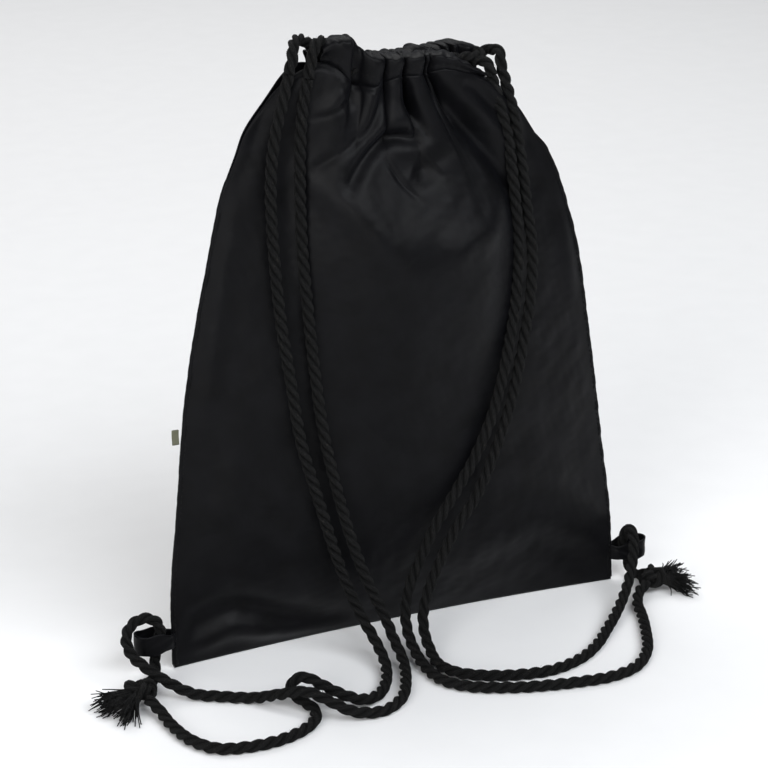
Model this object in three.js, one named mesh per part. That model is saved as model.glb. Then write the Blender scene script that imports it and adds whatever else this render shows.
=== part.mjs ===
// Drawstring backpack: two sewn panels gathered into a front and a back casing, with two
// cords that cross in the casings, hang as doubled shoulder straps and end in corner knots.
// Millimetres, +Z up, the strap side faces -Y, the origin is the middle of the base.
import * as THREE from 'three';

const CLOTH = 1.6; // thickness of a panel and its hem
const GAP = 0.3; // air between touching pieces
const CORD = 8; // cord diameter
const SEAM_PLANE = -20; // y of the side seams, nearer the strap side than the full back
const SEAM_BAND = 4; // width of the raised side seam
const EDGE_ROOM = 1.5; // from a panel's edge line to the raised side seam
const CASING_HEIGHT = 24;
const CASING_THICKNESS = 14;
const MOUTH_CENTRE = -3; // x of the middle of the gathered mouth
const MOUTH_HALF = 47; // half the gathered length of a casing
const MOUTH_Z = 398; // middle of the casings at the centre of the mouth
const MOUTH_RISE = 2; // how far the casing ends lift
const CASING_END_OFFSET = 7.4; // casing from the seam plane at its ends
const CASING_BOW = 4; // extra bow of a casing at its middle
const CHANNEL_OFFSET = 4.7; // the left cord runs this far above the casing middle, the right below
const TURN_ROOM = 11.5; // how far a cord's U-turn stands beyond the end of the casings
const TAB = { reach: 25, height: 14, bottom: 15.5, width: 14, tape: 1.4 };
const LABEL = { reach: 3.5, height: 10, thickness: 0.8, z: 165 };

const BLACK_CLOTH = { color: 0x1c1d20, roughness: 0.55 };
const BLACK_CORD = { color: 0x151515, roughness: 0.95 };
const OLIVE_LABEL = { color: 0x56573f, roughness: 0.8 };

// Heights are shares of the panel height; the widths are for the silhouette between the seams.
const HALF_WIDTH = [
  [0, 170], [0.14, 168], [0.28, 161], [0.5, 150], [0.72, 133], [0.86, 115], [0.9, 108], [0.965, 91], [1, 50],
];
const CENTRE_X = [
  [0, 0], [0.28, -3], [0.5, -5], [0.72, -5], [0.86, -9], [0.9, -11], [0.965, -14], [1, MOUTH_CENTRE],
];
const FRONT_BULGE = [[0, -8], [0.1, 12], [0.28, 28], [0.5, 32], [0.72, 25], [0.86, 13], [0.95, 8], [1, CASING_BOW]];
const BACK_BULGE = [[0, 46], [0.05, 58], [0.2, 71], [0.45, 69], [0.7, 52], [0.86, 30], [0.95, 14], [1, CASING_BOW]];
const SPREAD_FROM = 0.9; // share of the height where the side seam ends and the mouth spreads

const LEFT_TO_KNOT = [
  [-85, -34, 400], [-88.6, -34, 386], [-96, -34.5, 357], [-99.5, -36.5, 328], [-100, -41, 289], [-98, -46, 244],
  [-93, -50, 201], [-88, -53, 162], [-77, -53, 122], [-66, -53, 84], [-56, -54, 53], [-47, -59, 29],
  [-42, -69, 15], [-43, -86, 7], [-51, -105, 4.5], [-65, -122, 5], [-80, -128, 8], [-93, -123, 13],
  [-102, -114, 17], [-109, -104, 19], [-116, -102, 17], [-118, -103, 11], [-114, -109, 6], [-110, -119, 4.2],
  [-114, -133, 4.2], [-127, -144, 4.2], [-146, -150, 4.2], [-166, -150, 4.2], [-185, -144, 4.2],
  [-196, -128, 4.2], [-201, -102, 4.5], [-202, -85, 6], [-205.3, -72.2, 9.2],
];
const LEFT_THROUGH_TAB = [
  [-72, -34, 396], [-75.3, -34.3, 382], [-78, -35.5, 362], [-80, -38, 337], [-81, -42, 294], [-80, -47, 255],
  [-77, -51, 209], [-72, -54, 164], [-63, -56, 121], [-53, -58, 83], [-43, -60, 54], [-34, -65, 32],
  [-30, -72, 16], [-30, -86, 7], [-38, -108, 4.5], [-53, -132, 4.2], [-71, -142, 4.2], [-90, -140, 7],
  [-104, -132, 14], [-115, -122, 18], [-127, -109, 13], [-139, -92, 5], [-157, -80, 4.2], [-173, -70, 5],
  [-187, -61, 12], [-198, -50, 19.5], [-204, -37, 25], [-203.5, -26, 32], [-197, -19.5, 37.5],
  [-188, -18.5, 40], [-180.5, -19.8, 37], [-177.4, -20.3, 30], [-179.4, -20, 22], [-181.4, -19.7, 14],
  [-183, -23, 7], [-186, -31, 4.6], [-191, -41, 5.5], [-196, -49, 8.5], [-199.8, -54.6, 10.2],
];
const RIGHT_TO_KNOT = [
  [57.5, -34, 386], [62, -35, 370], [65.5, -36.3, 357], [68.8, -37.3, 344], [70.8, -39, 326],
  [73, -42, 299], [74, -45, 269], [71, -48, 235], [64, -52, 202], [54, -54, 165], [41, -55, 135], [22, -55, 104], [9, -55, 85],
  [-1, -55, 65], [-10, -56, 46], [-15, -59, 30], [-17, -66, 17], [-18, -80, 8], [-19, -99, 4.5],
  [-17, -119, 4.2], [-6, -134, 4.2], [17, -147, 4.2], [41, -155, 4.2], [65, -160, 4.2], [88, -162, 4.2],
  [110, -156, 4.2], [129, -138, 4.2], [144, -111, 4.2], [154, -89, 4.2], [160, -73, 5], [168, -62, 8],
  [177.5, -56, 10],
];
const RIGHT_THROUGH_TAB = [
  [66, -34, 387], [71.1, -34, 370.8], [76, -34.6, 350], [79.7, -36.5, 326], [82.2, -40, 298],
  [85, -44, 267], [82, -48, 234],
  [75, -51, 200], [65, -54, 163], [54, -55, 133], [38, -57, 101], [24, -58, 83], [12, -60, 64],
  [2, -62, 45], [-5, -66, 28], [-7, -72, 16], [-8, -83, 8], [-9, -97, 4.5], [-4, -112, 4.2],
  [8, -123, 4.2], [30, -133, 4.2], [56, -137, 4.2], [82, -130, 4.2], [102, -117, 4.5], [118, -102, 5.5],
  [134, -87, 8], [149, -72, 12.5], [162, -58, 20], [171, -46.5, 28], [176.5, -38, 35.5], [179.5, -30, 39.5],
  [180, -23.5, 38.5], [177.9, -20.4, 31.5], [179.9, -20, 22], [182.1, -19.8, 14.5], [183.4, -23.5, 6.5],
  [184.6, -31, 4.8], [185.4, -39.6, 9.3],
];
const LEFT_FRONT_EXIT = [
  [-71.9, -34, 396.4], [-69.4, -34, 408], [-65.5, -32.5, 417.5], [-60, -29, 417.5], [-56, -27.8, 409.5],
];
const LEFT_BACK_EXIT = [
  [-57, -12.8, 408.5], [-65, -14.5, 415], [-73.5, -21, 418.5], [-79.8, -29, 416], [-82.6, -34, 409],
  [-84.9, -34, 400.4],
];
const RIGHT_FRONT_EXIT = [[57.4, -34, 386.4], [55.6, -34, 392.5], [49.5, -30.5, 396.5]];
const RIGHT_BACK_EXIT = [
  [54, -11.5, 395.6], [62.5, -14.5, 398], [66, -22, 400], [65, -31, 398.5], [64.3, -34, 392.6],
  [65.85, -34, 387.5],
];
const LEFT_KNOT = [-207, -62, 11];
const RIGHT_KNOT = [186, -50, 11];
const KNOT_RADIUS = 10;
const TAIL = { length: 19, root: 3.6, brush: 6.5 };

/** Value at share t of a curve through [share, value] points. */
function valueAt(points, t) {
  const last = points.length - 2;
  const i = Math.min(last, Math.max(0, points.findIndex((p) => p[0] > t) - 1));
  const index = t >= 1 ? last : i;
  const slope = (k) => {
    const before = points[Math.max(0, k - 1)];
    const after = points[Math.min(points.length - 1, k + 1)];
    return (after[1] - before[1]) / (after[0] - before[0]);
  };
  const [t0, v0] = points[index];
  const [t1, v1] = points[index + 1];
  const span = t1 - t0;
  const u = Math.min(1, Math.max(0, (t - t0) / span));
  const start = slope(index) * span;
  const end = slope(index + 1) * span;
  const a = 2 * v0 - 2 * v1 + start + end;
  const b = 3 * v1 - 3 * v0 - 2 * start - end;
  return ((a * u + b) * u + start) * u + v0;
}

/** Height of the casings' middle line at s, -1 at the left end and 1 at the right. */
function casingZ(s) {
  return MOUTH_Z + MOUTH_RISE * s * s;
}

/** Distance of a casing's middle line from the seam plane. */
function casingOffset(s) {
  return CASING_END_OFFSET + CASING_BOW * (1 - s * s);
}

/** Distance between a panel and the seam plane at its side edges. */
function edgeOffset(t) {
  const sewn = CLOTH / 2 + GAP / 2;
  const share = Math.max(0, (t - SPREAD_FROM) / (1 - SPREAD_FROM));
  return sewn + (CASING_END_OFFSET - sewn) * share * share;
}

/** A point of the cloth: across s (-1 to 1), up t (0 to 1); side is -1 for the front, 1 for the back. */
function clothPoint(s, t, side) {
  const bulge = valueAt(side < 0 ? FRONT_BULGE : BACK_BULGE, t);
  const round = Math.pow(Math.max(0, 1 - s * s), side < 0 ? 1 : 0.85);
  const half = valueAt(HALF_WIDTH, t) - (SEAM_BAND + EDGE_ROOM) * (1 - t);
  const top = casingZ(s) - CASING_HEIGHT / 2 - GAP;
  return new THREE.Vector3(
    valueAt(CENTRE_X, t) + half * s,
    SEAM_PLANE + side * (edgeOffset(t) + bulge * round),
    CLOTH / 2 + t * (top - CLOTH / 2),
  );
}

/** A point of the back panel, whose first stretch is the flat base on the floor. */
function backPoint(s, v) {
  const baseShare = 0.15;
  if (v >= baseShare) return clothPoint(s, (v - baseShare) / (1 - baseShare), 1);
  const front = clothPoint(s, 0, -1);
  const back = clothPoint(s, 0, 1);
  front.y += CLOTH + 2 * GAP;
  return front.lerp(back, v / baseShare);
}

/** A closed sheet of even thickness over a surface point(s, v); outward is the side it faces. */
function sheetGeometry(point, columns, rows, outward) {
  const step = 1e-3;
  const offsetPoint = (s, v, distance) => {
    const across = point(Math.min(1, s + step), v).sub(point(Math.max(-1, s - step), v));
    const up = point(s, Math.min(1, v + step)).sub(point(s, Math.max(0, v - step)));
    const normal = across.cross(up).normalize();
    return point(s, v).addScaledVector(normal, distance);
  };
  const box = new THREE.BoxGeometry(2, CLOTH, 1, columns, 1, rows);
  const position = box.attributes.position;
  for (let i = 0; i < position.count; i += 1) {
    const distance = -position.getY(i) * outward;
    const placed = offsetPoint(position.getX(i), position.getZ(i) + 0.5, distance * outward);
    position.setXYZ(i, placed.x, placed.y, placed.z);
  }
  return box;
}

/** Joins rings of equal point count into a closed surface; the last ring meets the first. */
function ringLoopGeometry(rings) {
  const count = rings[0].length;
  const vertices = rings.flat().flatMap((p) => [p.x, p.y, p.z]);
  const indices = [];
  rings.forEach((ring, r) => {
    const next = (r + 1) % rings.length;
    for (let i = 0; i < count; i += 1) {
      const j = (i + 1) % count;
      const [a, b, c, d] = [r * count + i, r * count + j, next * count + j, next * count + i];
      indices.push(a, b, c, a, c, d);
    }
  });
  const geometry = new THREE.BufferGeometry();
  geometry.setAttribute('position', new THREE.Float32BufferAttribute(vertices, 3));
  geometry.setIndex(indices);
  return geometry;
}

/** One gathered casing: a flat tunnel open at both ends. */
function casingGeometry(side) {
  const stations = 13;
  const corners = 14;
  const squared = (value) => Math.sign(value) * Math.abs(value) ** 0.6;
  const ringAt = (s, inset) => Array.from({ length: corners }, (_, i) => {
    const angle = ((i + 0.5) / corners) * 2 * Math.PI;
    return new THREE.Vector3(
      MOUTH_CENTRE + MOUTH_HALF * s,
      SEAM_PLANE + side * casingOffset(s) + squared(Math.cos(angle)) * (CASING_THICKNESS / 2 - inset),
      casingZ(s) + squared(Math.sin(angle)) * (CASING_HEIGHT / 2 - inset),
    );
  });
  const shares = Array.from({ length: stations }, (_, k) => -1 + (2 * k) / (stations - 1));
  const outer = shares.map((s) => ringAt(s, 0));
  const inner = shares.map((s) => ringAt(s, 1)).reverse();
  return ringLoopGeometry([...outer, ...inner]);
}

/** A round cord along points. */
function cordGeometry(points, steps) {
  const path = new THREE.CatmullRomCurve3(points.map((p) => new THREE.Vector3(...p)), false, 'centripetal');
  const section = new THREE.Shape();
  const sides = 8;
  for (let i = 0; i < sides; i += 1) {
    const angle = (i / sides) * 2 * Math.PI;
    const [x, y] = [Math.cos(angle) * CORD / 2, Math.sin(angle) * CORD / 2];
    if (i === 0) section.moveTo(x, y);
    else section.lineTo(x, y);
  }
  section.closePath();
  return new THREE.ExtrudeGeometry(section, { extrudePath: path, steps, bevelEnabled: false });
}

/** The run of a cord inside both casings: in at one end, round the far end and back. */
function casingRunPoints(exitSide, channel, frontExit, backExit) {
  const along = (s, side) => [
    MOUTH_CENTRE + MOUTH_HALF * s,
    SEAM_PLANE + side * casingOffset(s),
    casingZ(s) + channel,
  ];
  const front = [1, 0.6, 0.2, -0.2, -0.6, -1].map((share) => along(share * exitSide, -1));
  const back = [-1, -0.6, -0.2, 0.2, 0.6, 1].map((share) => along(share * exitSide, 1));
  const turnX = MOUTH_CENTRE - exitSide * (MOUTH_HALF + TURN_ROOM);
  const turnZ = casingZ(1) + channel;
  const turn = [[8, -CASING_END_OFFSET], [2, -5], [0, 0], [2, 5], [8, CASING_END_OFFSET]]
    .map(([inward, across]) => [turnX + exitSide * inward, SEAM_PLANE + across, turnZ]);
  return [...frontExit, ...front, ...turn, ...back, ...backExit];
}

/** A knot: a squat ball of wound cord. */
function knotGeometry() {
  return new THREE.SphereGeometry(KNOT_RADIUS, 14, 9);
}

/** One frayed cord end, pointing along +Z from the knot. */
function tailGeometry() {
  const { length, root, brush } = TAIL;
  const profile = [
    [0, 0], [root, 0], [root + 0.4, length * 0.35], [brush, length * 0.85], [brush - 1, length], [0, length],
  ];
  return new THREE.LatheGeometry(profile.map(([r, z]) => new THREE.Vector2(r, z)), 10)
    .rotateX(Math.PI / 2);
}

/** A tape loop that stands out of the side seam; its hole runs up and down. */
function tabGeometry() {
  const { reach, height, width, tape } = TAB;
  const outline = (inset) => {
    const radius = width / 2 - inset;
    const start = inset === 0 ? 0 : inset;
    const points = [[start, -radius]];
    for (let i = 0; i <= 6; i += 1) {
      const angle = -Math.PI / 2 + (i / 6) * Math.PI;
      points.push([reach - width / 2 + Math.cos(angle) * radius, Math.sin(angle) * radius]);
    }
    points.push([start, radius]);
    return points.map(([x, y]) => new THREE.Vector2(x, y));
  };
  const shape = new THREE.Shape(outline(0));
  shape.holes.push(new THREE.Path(outline(tape).reverse()));
  return new THREE.ExtrudeGeometry(shape, { depth: height, bevelEnabled: false });
}

/** X of the outer face of a side seam at share t of the height. */
function seamOuterX(side, t) {
  return clothPoint(side, t, -1).x + side * (EDGE_ROOM + SEAM_BAND);
}

/** How far out from x = 0 a side seam stands, at most, at the given heights. */
function seamReach(side, levels) {
  const panelTop = MOUTH_Z - CASING_HEIGHT / 2;
  return Math.max(...levels.map((z) => Math.abs(seamOuterX(side, z / panelTop))));
}

/** The raised band of a side seam, from the floor up to where the mouth spreads. */
function sideSeamGeometry(side) {
  const rows = 16;
  const thickness = 2 * CLOTH + GAP;
  const rings = [];
  for (let k = 0; k <= rows; k += 1) {
    const t = (k / rows) * SPREAD_FROM;
    const edge = clothPoint(side, t, -1);
    const z = k === 0 ? 0.6 : edge.z;
    const [inner, outer] = [edge.x + side * EDGE_ROOM, seamOuterX(side, t)];
    const corner = (x, y) => new THREE.Vector3(x, SEAM_PLANE + y, z);
    const ring = [
      corner(inner, -thickness / 2), corner(outer, -thickness / 2),
      corner(outer, thickness / 2), corner(inner, thickness / 2),
    ];
    rings.push(side > 0 ? ring : ring.reverse());
  }
  return cappedRingsGeometry(rings);
}

/** Rings of four points stacked upward, with flat ends. */
function cappedRingsGeometry(rings) {
  const vertices = rings.flat().flatMap((p) => [p.x, p.y, p.z]);
  const indices = [];
  for (let r = 0; r < rings.length - 1; r += 1) {
    for (let i = 0; i < 4; i += 1) {
      const j = (i + 1) % 4;
      const [a, b, c, d] = [r * 4 + i, r * 4 + j, r * 4 + 4 + j, r * 4 + 4 + i];
      indices.push(a, b, c, a, c, d);
    }
  }
  const top = (rings.length - 1) * 4;
  indices.push(0, 2, 1, 0, 3, 2, top, top + 1, top + 2, top, top + 2, top + 3);
  const geometry = new THREE.BufferGeometry();
  geometry.setAttribute('position', new THREE.Float32BufferAttribute(vertices, 3));
  geometry.setIndex(indices);
  return geometry;
}

/** The seam allowance along the bottom, inside the backpack just above the base. */
function bottomSeamGeometry() {
  const rings = [];
  const columns = 16;
  const [low, high, depth] = [CLOTH + GAP, CLOTH + GAP + 6, 1.6];
  for (let k = 0; k <= columns; k += 1) {
    const s = -0.93 + (1.86 * k) / columns;
    const edge = clothPoint(s, 0, -1);
    const y = edge.y + CLOTH / 2 + 3;
    const corner = (dy, z) => new THREE.Vector3(edge.x, y + dy, z);
    rings.push([corner(0, low), corner(depth, low), corner(depth, high), corner(0, high)]);
  }
  return cappedRingsGeometry(rings);
}

function mesh(name, geometry, look) {
  const made = new THREE.Mesh(geometry, new THREE.MeshStandardMaterial(look));
  made.name = name;
  return made;
}

function buildPanels(backpack) {
  backpack.add(mesh('front_panel', sheetGeometry((s, t) => clothPoint(s, t, -1), 16, 16, 1), BLACK_CLOTH));
  backpack.add(mesh('back_panel', sheetGeometry(backPoint, 16, 20, -1), BLACK_CLOTH));
  backpack.add(mesh('left_side_seam', sideSeamGeometry(-1), BLACK_CLOTH));
  backpack.add(mesh('right_side_seam', sideSeamGeometry(1), BLACK_CLOTH));
  backpack.add(mesh('bottom_seam', bottomSeamGeometry(), BLACK_CLOTH));
}

function buildCasings(backpack) {
  backpack.add(mesh('front_casing', casingGeometry(-1), BLACK_CLOTH));
  backpack.add(mesh('back_casing', casingGeometry(1), BLACK_CLOTH));
}

function buildTabs(backpack) {
  const levels = [TAB.bottom, TAB.bottom + TAB.height];
  const seamX = Math.max(seamReach(-1, levels), seamReach(1, levels));
  for (const [name, side] of [['left', -1], ['right', 1]]) {
    const tab = mesh(`${name}_tab`, tabGeometry(), BLACK_CLOTH);
    tab.position.set(side * (seamX + 2 * GAP), SEAM_PLANE, TAB.bottom);
    tab.rotation.z = side < 0 ? Math.PI : 0;
    backpack.add(tab);
  }
}

/** The small blank label sewn into the left side seam. */
function buildLabel(backpack) {
  const { reach, height, thickness, z } = LABEL;
  const label = mesh('side_label', new THREE.BoxGeometry(reach, thickness, height), OLIVE_LABEL);
  const seamX = seamReach(-1, [z - height / 2, z + height / 2]);
  label.position.set(-(seamX + GAP + reach / 2), SEAM_PLANE, z);
  backpack.add(label);
}

function buildStrap(name, toKnot, throughTab, knotAt, tailHeading) {
  const strap = new THREE.Group();
  strap.name = `${name}_strap`;
  strap.add(mesh(`${name}_strap_to_knot`, cordGeometry(toKnot, 76), BLACK_CORD));
  strap.add(mesh(`${name}_strap_through_tab`, cordGeometry(throughTab, 80), BLACK_CORD));
  const knot = mesh(`${name}_knot`, knotGeometry(), BLACK_CORD);
  knot.position.set(...knotAt);
  strap.add(knot);
  const spread = 0.44;
  for (const [end, turn] of [['a', -spread], ['b', spread]]) {
    const tail = mesh(`${name}_tail_${end}`, tailGeometry(), BLACK_CORD);
    const heading = tailHeading + turn;
    const direction = new THREE.Vector3(Math.cos(heading), Math.sin(heading), -0.12).normalize();
    tail.quaternion.setFromUnitVectors(new THREE.Vector3(0, 0, 1), direction);
    tail.position.set(...knotAt).addScaledVector(direction, KNOT_RADIUS + GAP);
    strap.add(tail);
  }
  return strap;
}

const backpack = new THREE.Group();
backpack.name = 'drawstring_backpack';
buildPanels(backpack);
buildCasings(backpack);
buildTabs(backpack);
buildLabel(backpack);

const leftRun = casingRunPoints(-1, CHANNEL_OFFSET, LEFT_FRONT_EXIT, LEFT_BACK_EXIT);
const rightRun = casingRunPoints(1, -CHANNEL_OFFSET, RIGHT_FRONT_EXIT, RIGHT_BACK_EXIT);
backpack.add(mesh('left_cord_run', cordGeometry(leftRun, 46), BLACK_CORD));
backpack.add(mesh('right_cord_run', cordGeometry(rightRun, 46), BLACK_CORD));
backpack.add(buildStrap('left', LEFT_TO_KNOT, LEFT_THROUGH_TAB, LEFT_KNOT, Math.PI + 0.4));
backpack.add(buildStrap('right', RIGHT_TO_KNOT, RIGHT_THROUGH_TAB, RIGHT_KNOT, -0.15));

export default backpack;
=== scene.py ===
"""Drawstring backpack in black satin: cloth, casings, ropes, knots and a pale studio."""
import math
from functools import partial

import bpy
import numpy as np
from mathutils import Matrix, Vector


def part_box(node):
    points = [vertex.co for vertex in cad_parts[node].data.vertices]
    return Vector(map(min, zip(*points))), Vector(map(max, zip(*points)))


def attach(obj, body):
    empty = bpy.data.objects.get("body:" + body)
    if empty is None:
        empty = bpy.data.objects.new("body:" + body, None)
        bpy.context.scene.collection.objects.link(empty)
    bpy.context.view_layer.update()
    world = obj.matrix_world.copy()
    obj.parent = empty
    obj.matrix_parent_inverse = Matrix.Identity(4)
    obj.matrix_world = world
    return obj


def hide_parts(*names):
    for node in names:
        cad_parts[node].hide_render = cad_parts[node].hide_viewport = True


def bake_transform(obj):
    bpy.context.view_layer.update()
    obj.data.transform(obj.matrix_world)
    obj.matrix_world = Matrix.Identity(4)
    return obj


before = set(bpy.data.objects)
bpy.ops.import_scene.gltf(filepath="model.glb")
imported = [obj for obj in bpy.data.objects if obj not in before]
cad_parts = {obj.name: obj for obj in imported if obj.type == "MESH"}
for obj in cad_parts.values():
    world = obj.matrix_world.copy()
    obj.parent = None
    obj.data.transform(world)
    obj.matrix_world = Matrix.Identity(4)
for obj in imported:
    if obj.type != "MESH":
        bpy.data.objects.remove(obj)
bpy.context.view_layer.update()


# ---------------------------------------------------------------- sizes, in metres, from the frame

def low(node):
    return Vector(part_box(node)[0])


def high(node):
    return Vector(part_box(node)[1])


SEAM_Y = (low("left_side_seam").y + high("left_side_seam").y) / 2  # plane of the side seams
HALF_WIDTH = high("right_side_seam").x  # half the width at the base
STITCH_Z = low("front_casing").z  # the casings' stitch line, where the panels end
CORD = 0.008  # cord diameter
CLOTH = 0.0008  # cloth thickness
PITCH = 0.027  # length of one full turn of the rope's strands
FLOOR_GAP = 0.0001  # the ropes lie this far above the floor
SIDES = (("left", -1), ("right", 1))  # names of the sides, and their direction along X
FACES = (("front", -1), ("back", 1))  # and of the two faces, along Y


# ---------------------------------------------------------------- small tools

def curve_value(points, t):
    """Smooth values of a curve through (t, value) points, for an array t."""
    knots = np.array(points, float)
    x, y = knots[:, 0], knots[:, 1]
    slope = np.gradient(y, x)
    i = np.clip(np.searchsorted(x, t, side="right") - 1, 0, len(x) - 2)
    span = x[i + 1] - x[i]
    f = np.clip((t - x[i]) / span, 0, 1)
    rise = (2 * f**3 - 3 * f**2 + 1) * y[i] + (3 * f**2 - 2 * f**3) * y[i + 1]
    lean = (f**3 - 2 * f**2 + f) * slope[i] + (f**3 - f**2) * slope[i + 1]
    return rise + lean * span


def smoothstep(low_edge, high_edge, value):
    t = np.clip((value - low_edge) / (high_edge - low_edge), 0, 1)
    return t * t * (3 - 2 * t)


def smooth_path(points, spacing):
    """Points at even spacing on a centripetal Catmull-Rom curve through the given points."""
    p = np.array(points, float)
    p = np.vstack([2 * p[0] - p[1], p, 2 * p[-1] - p[-2]])
    dense = []
    for p0, p1, p2, p3 in zip(p, p[1:], p[2:], p[3:]):
        t1 = np.linalg.norm(p1 - p0) ** 0.5
        t2 = t1 + np.linalg.norm(p2 - p1) ** 0.5
        t3 = t2 + np.linalg.norm(p3 - p2) ** 0.5
        t = np.linspace(t1, t2, 24, endpoint=False)[:, None]
        a1 = (t1 - t) / t1 * p0 + t / t1 * p1
        a2 = (t2 - t) / (t2 - t1) * p1 + (t - t1) / (t2 - t1) * p2
        a3 = (t3 - t) / (t3 - t2) * p2 + (t - t2) / (t3 - t2) * p3
        b1 = (t2 - t) / t2 * a1 + t / t2 * a2
        b2 = (t3 - t) / (t3 - t1) * a2 + (t - t1) / (t3 - t1) * a3
        dense.append((t2 - t) / (t2 - t1) * b1 + (t - t1) / (t2 - t1) * b2)
    dense = np.vstack([*dense, p[-2]])
    along = distances_along(dense)
    count = max(2, round(along[-1] / spacing) + 1)
    even = np.linspace(0, along[-1], count)
    return np.stack([np.interp(even, along, dense[:, k]) for k in range(3)], axis=1)


def distances_along(path):
    """How far along the path each of its points is."""
    return np.concatenate([[0], np.cumsum(np.linalg.norm(np.diff(path, axis=0), axis=1))])


def path_length(path):
    return float(np.linalg.norm(np.diff(path, axis=0), axis=1).sum())


def path_frames(path):
    """Tangents and two crosswise directions that turn as little as possible along a path."""
    tangent = np.gradient(path, axis=0)
    tangent /= np.linalg.norm(tangent, axis=1)[:, None]
    normal = np.zeros_like(path)
    start = np.cross(tangent[0], [0.3, 0.9, 0.1])
    normal[0] = start / np.linalg.norm(start)
    for i in range(1, len(path)):
        carried = normal[i - 1] - tangent[i] * (normal[i - 1] @ tangent[i])
        normal[i] = carried / np.linalg.norm(carried)
    return tangent, normal, np.cross(tangent, normal)


def rings_round(path, angle, radii):
    """Points round a path; angle and radii hold a row for each of its points, or one row for all."""
    _, normal, across = path_frames(path)
    ring = normal[:, None] * np.cos(angle)[..., None] + across[:, None] * np.sin(angle)[..., None]
    return path[:, None] + ring * radii[..., None]


def ripple_noise(points, size, seed, octaves=3):
    """Soft noise from -1 to 1 at points (..., n): waves of the given size in random directions."""
    rng = np.random.default_rng(seed)
    total = np.zeros(points.shape[:-1])
    for octave in range(octaves):
        for _ in range(7):
            direction = rng.normal(size=points.shape[-1])
            direction *= 2 * math.pi * 2**octave / size / np.linalg.norm(direction)
            total += np.sin(points @ direction + rng.uniform(0, 2 * math.pi)) * 0.5**octave
    return total / 7


def new_object(name, vertices, faces, material, uvs=None):
    """A mesh object; uvs holds one (u, v) for each vertex."""
    data = bpy.data.meshes.new(name)
    data.from_pydata([tuple(v) for v in vertices], [], faces)
    data.update()
    if uvs is not None:
        layer = data.uv_layers.new(name="UVMap")
        loops = np.zeros(len(data.loops), dtype=np.int64)
        data.loops.foreach_get("vertex_index", loops)
        layer.data.foreach_set("uv", np.asarray(uvs, float)[loops].ravel())
    data.polygons.foreach_set("use_smooth", [True] * len(data.polygons))
    data.materials.append(material)
    made = bpy.data.objects.new(name, data)
    bpy.context.scene.collection.objects.link(made)
    return made


def grid_faces(rows, columns, closed=False):
    """Quads of a grid of rows x columns points; closed joins the last column to the first."""
    faces = []
    for r in range(rows - 1):
        for c in range(columns if closed else columns - 1):
            d = (c + 1) % columns
            faces.append((r * columns + c, r * columns + d, (r + 1) * columns + d, (r + 1) * columns + c))
    return faces


def capped_tube_faces(rings, sides):
    """Faces of a tube of rings, closed at both ends and facing out."""
    faces = [face[::-1] for face in grid_faces(rings, sides, closed=True)]
    faces.append(tuple(range(sides)))
    faces.append(tuple(reversed(range((rings - 1) * sides, rings * sides))))
    return faces


def merged(parts):
    """One list of vertices and faces from several."""
    vertices, faces = [], []
    for part_vertices, part_faces in parts:
        offset = len(vertices)
        vertices.extend(part_vertices)
        faces.extend(tuple(i + offset for i in face) for face in part_faces)
    return vertices, faces


def apply_modifiers(made):
    evaluated = made.evaluated_get(bpy.context.evaluated_depsgraph_get())
    made.data = bpy.data.meshes.new_from_object(evaluated)
    made.modifiers.clear()


def thicken(made, thickness):
    solid = made.modifiers.new("thickness", "SOLIDIFY")
    solid.thickness = thickness
    solid.offset = 0
    apply_modifiers(made)


# ---------------------------------------------------------------- materials

class Look:
    """A material being built from nodes."""

    def __init__(self, name, colour, roughness):
        self.material = bpy.data.materials.new(name)
        self.material.use_nodes = True
        self.nodes = self.material.node_tree.nodes
        self.links = self.material.node_tree.links
        self.shader = self.nodes["Principled BSDF"]
        self.shader.inputs["Base Color"].default_value = (*colour, 1)
        self.shader.inputs["Roughness"].default_value = roughness

    def add(self, kind, **inputs):
        node = self.nodes.new(kind)
        for key, value in inputs.items():
            node.inputs[key.replace("_", " ")].default_value = value
        return node

    def set(self, **inputs):
        """Sets inputs of the shader; an underscore in a name stands for a space."""
        for key, value in inputs.items():
            self.shader.inputs[key.replace("_", " ")].default_value = value

    def link(self, source, output, target, name):
        self.links.new(source.outputs[output], target.inputs[name])

    def texture(self, kind, coordinates, stretch=(1, 1, 1), turn=0.0, **inputs):
        """A texture node fed by Object or UV coordinates, stretched and turned."""
        place = self.add("ShaderNodeTexCoord")
        mapping = self.add("ShaderNodeMapping")
        mapping.inputs["Scale"].default_value = stretch
        mapping.inputs["Rotation"].default_value = (0, 0, turn)
        node = self.add(kind, **inputs)
        self.link(place, coordinates, mapping, "Vector")
        self.link(mapping, "Vector", node, "Vector")
        return node

    def ramp(self, source, output, stops):
        """A colour ramp over a texture, linked to nothing yet."""
        node = self.add("ShaderNodeValToRGB")
        elements = node.color_ramp.elements
        while len(elements) < len(stops):
            elements.new(0.5)
        for element, (position, colour) in zip(elements, stops):
            element.position = position
            element.color = (*colour, 1)
        self.link(source, output, node, "Fac")
        return node

    def drive(self, name, source, stops):
        """Lets a texture drive a shader input through a colour ramp."""
        self.link(self.ramp(source, "Fac", stops), "Color", self.shader, name)

    def multiply(self, first, second):
        """The product of two colour ramps."""
        node = self.add("ShaderNodeMix")
        node.data_type = "RGBA"
        node.blend_type = "MULTIPLY"
        node.inputs[0].default_value = 1
        self.links.new(first.outputs["Color"], node.inputs[6])
        self.links.new(second.outputs["Color"], node.inputs[7])
        return node

    def bump(self, layers, strength):
        """Chained bumps from (texture, output, distance) layers into the shader."""
        before = None
        for node, output, distance in layers:
            bump = self.add("ShaderNodeBump", Strength=strength, Distance=distance)
            self.link(node, output, bump, "Height")
            if before is not None:
                self.link(before, "Normal", bump, "Normal")
            before = bump
        self.link(before, "Normal", self.shader, "Normal")


def grey(value):
    return (value, value, value)


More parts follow.
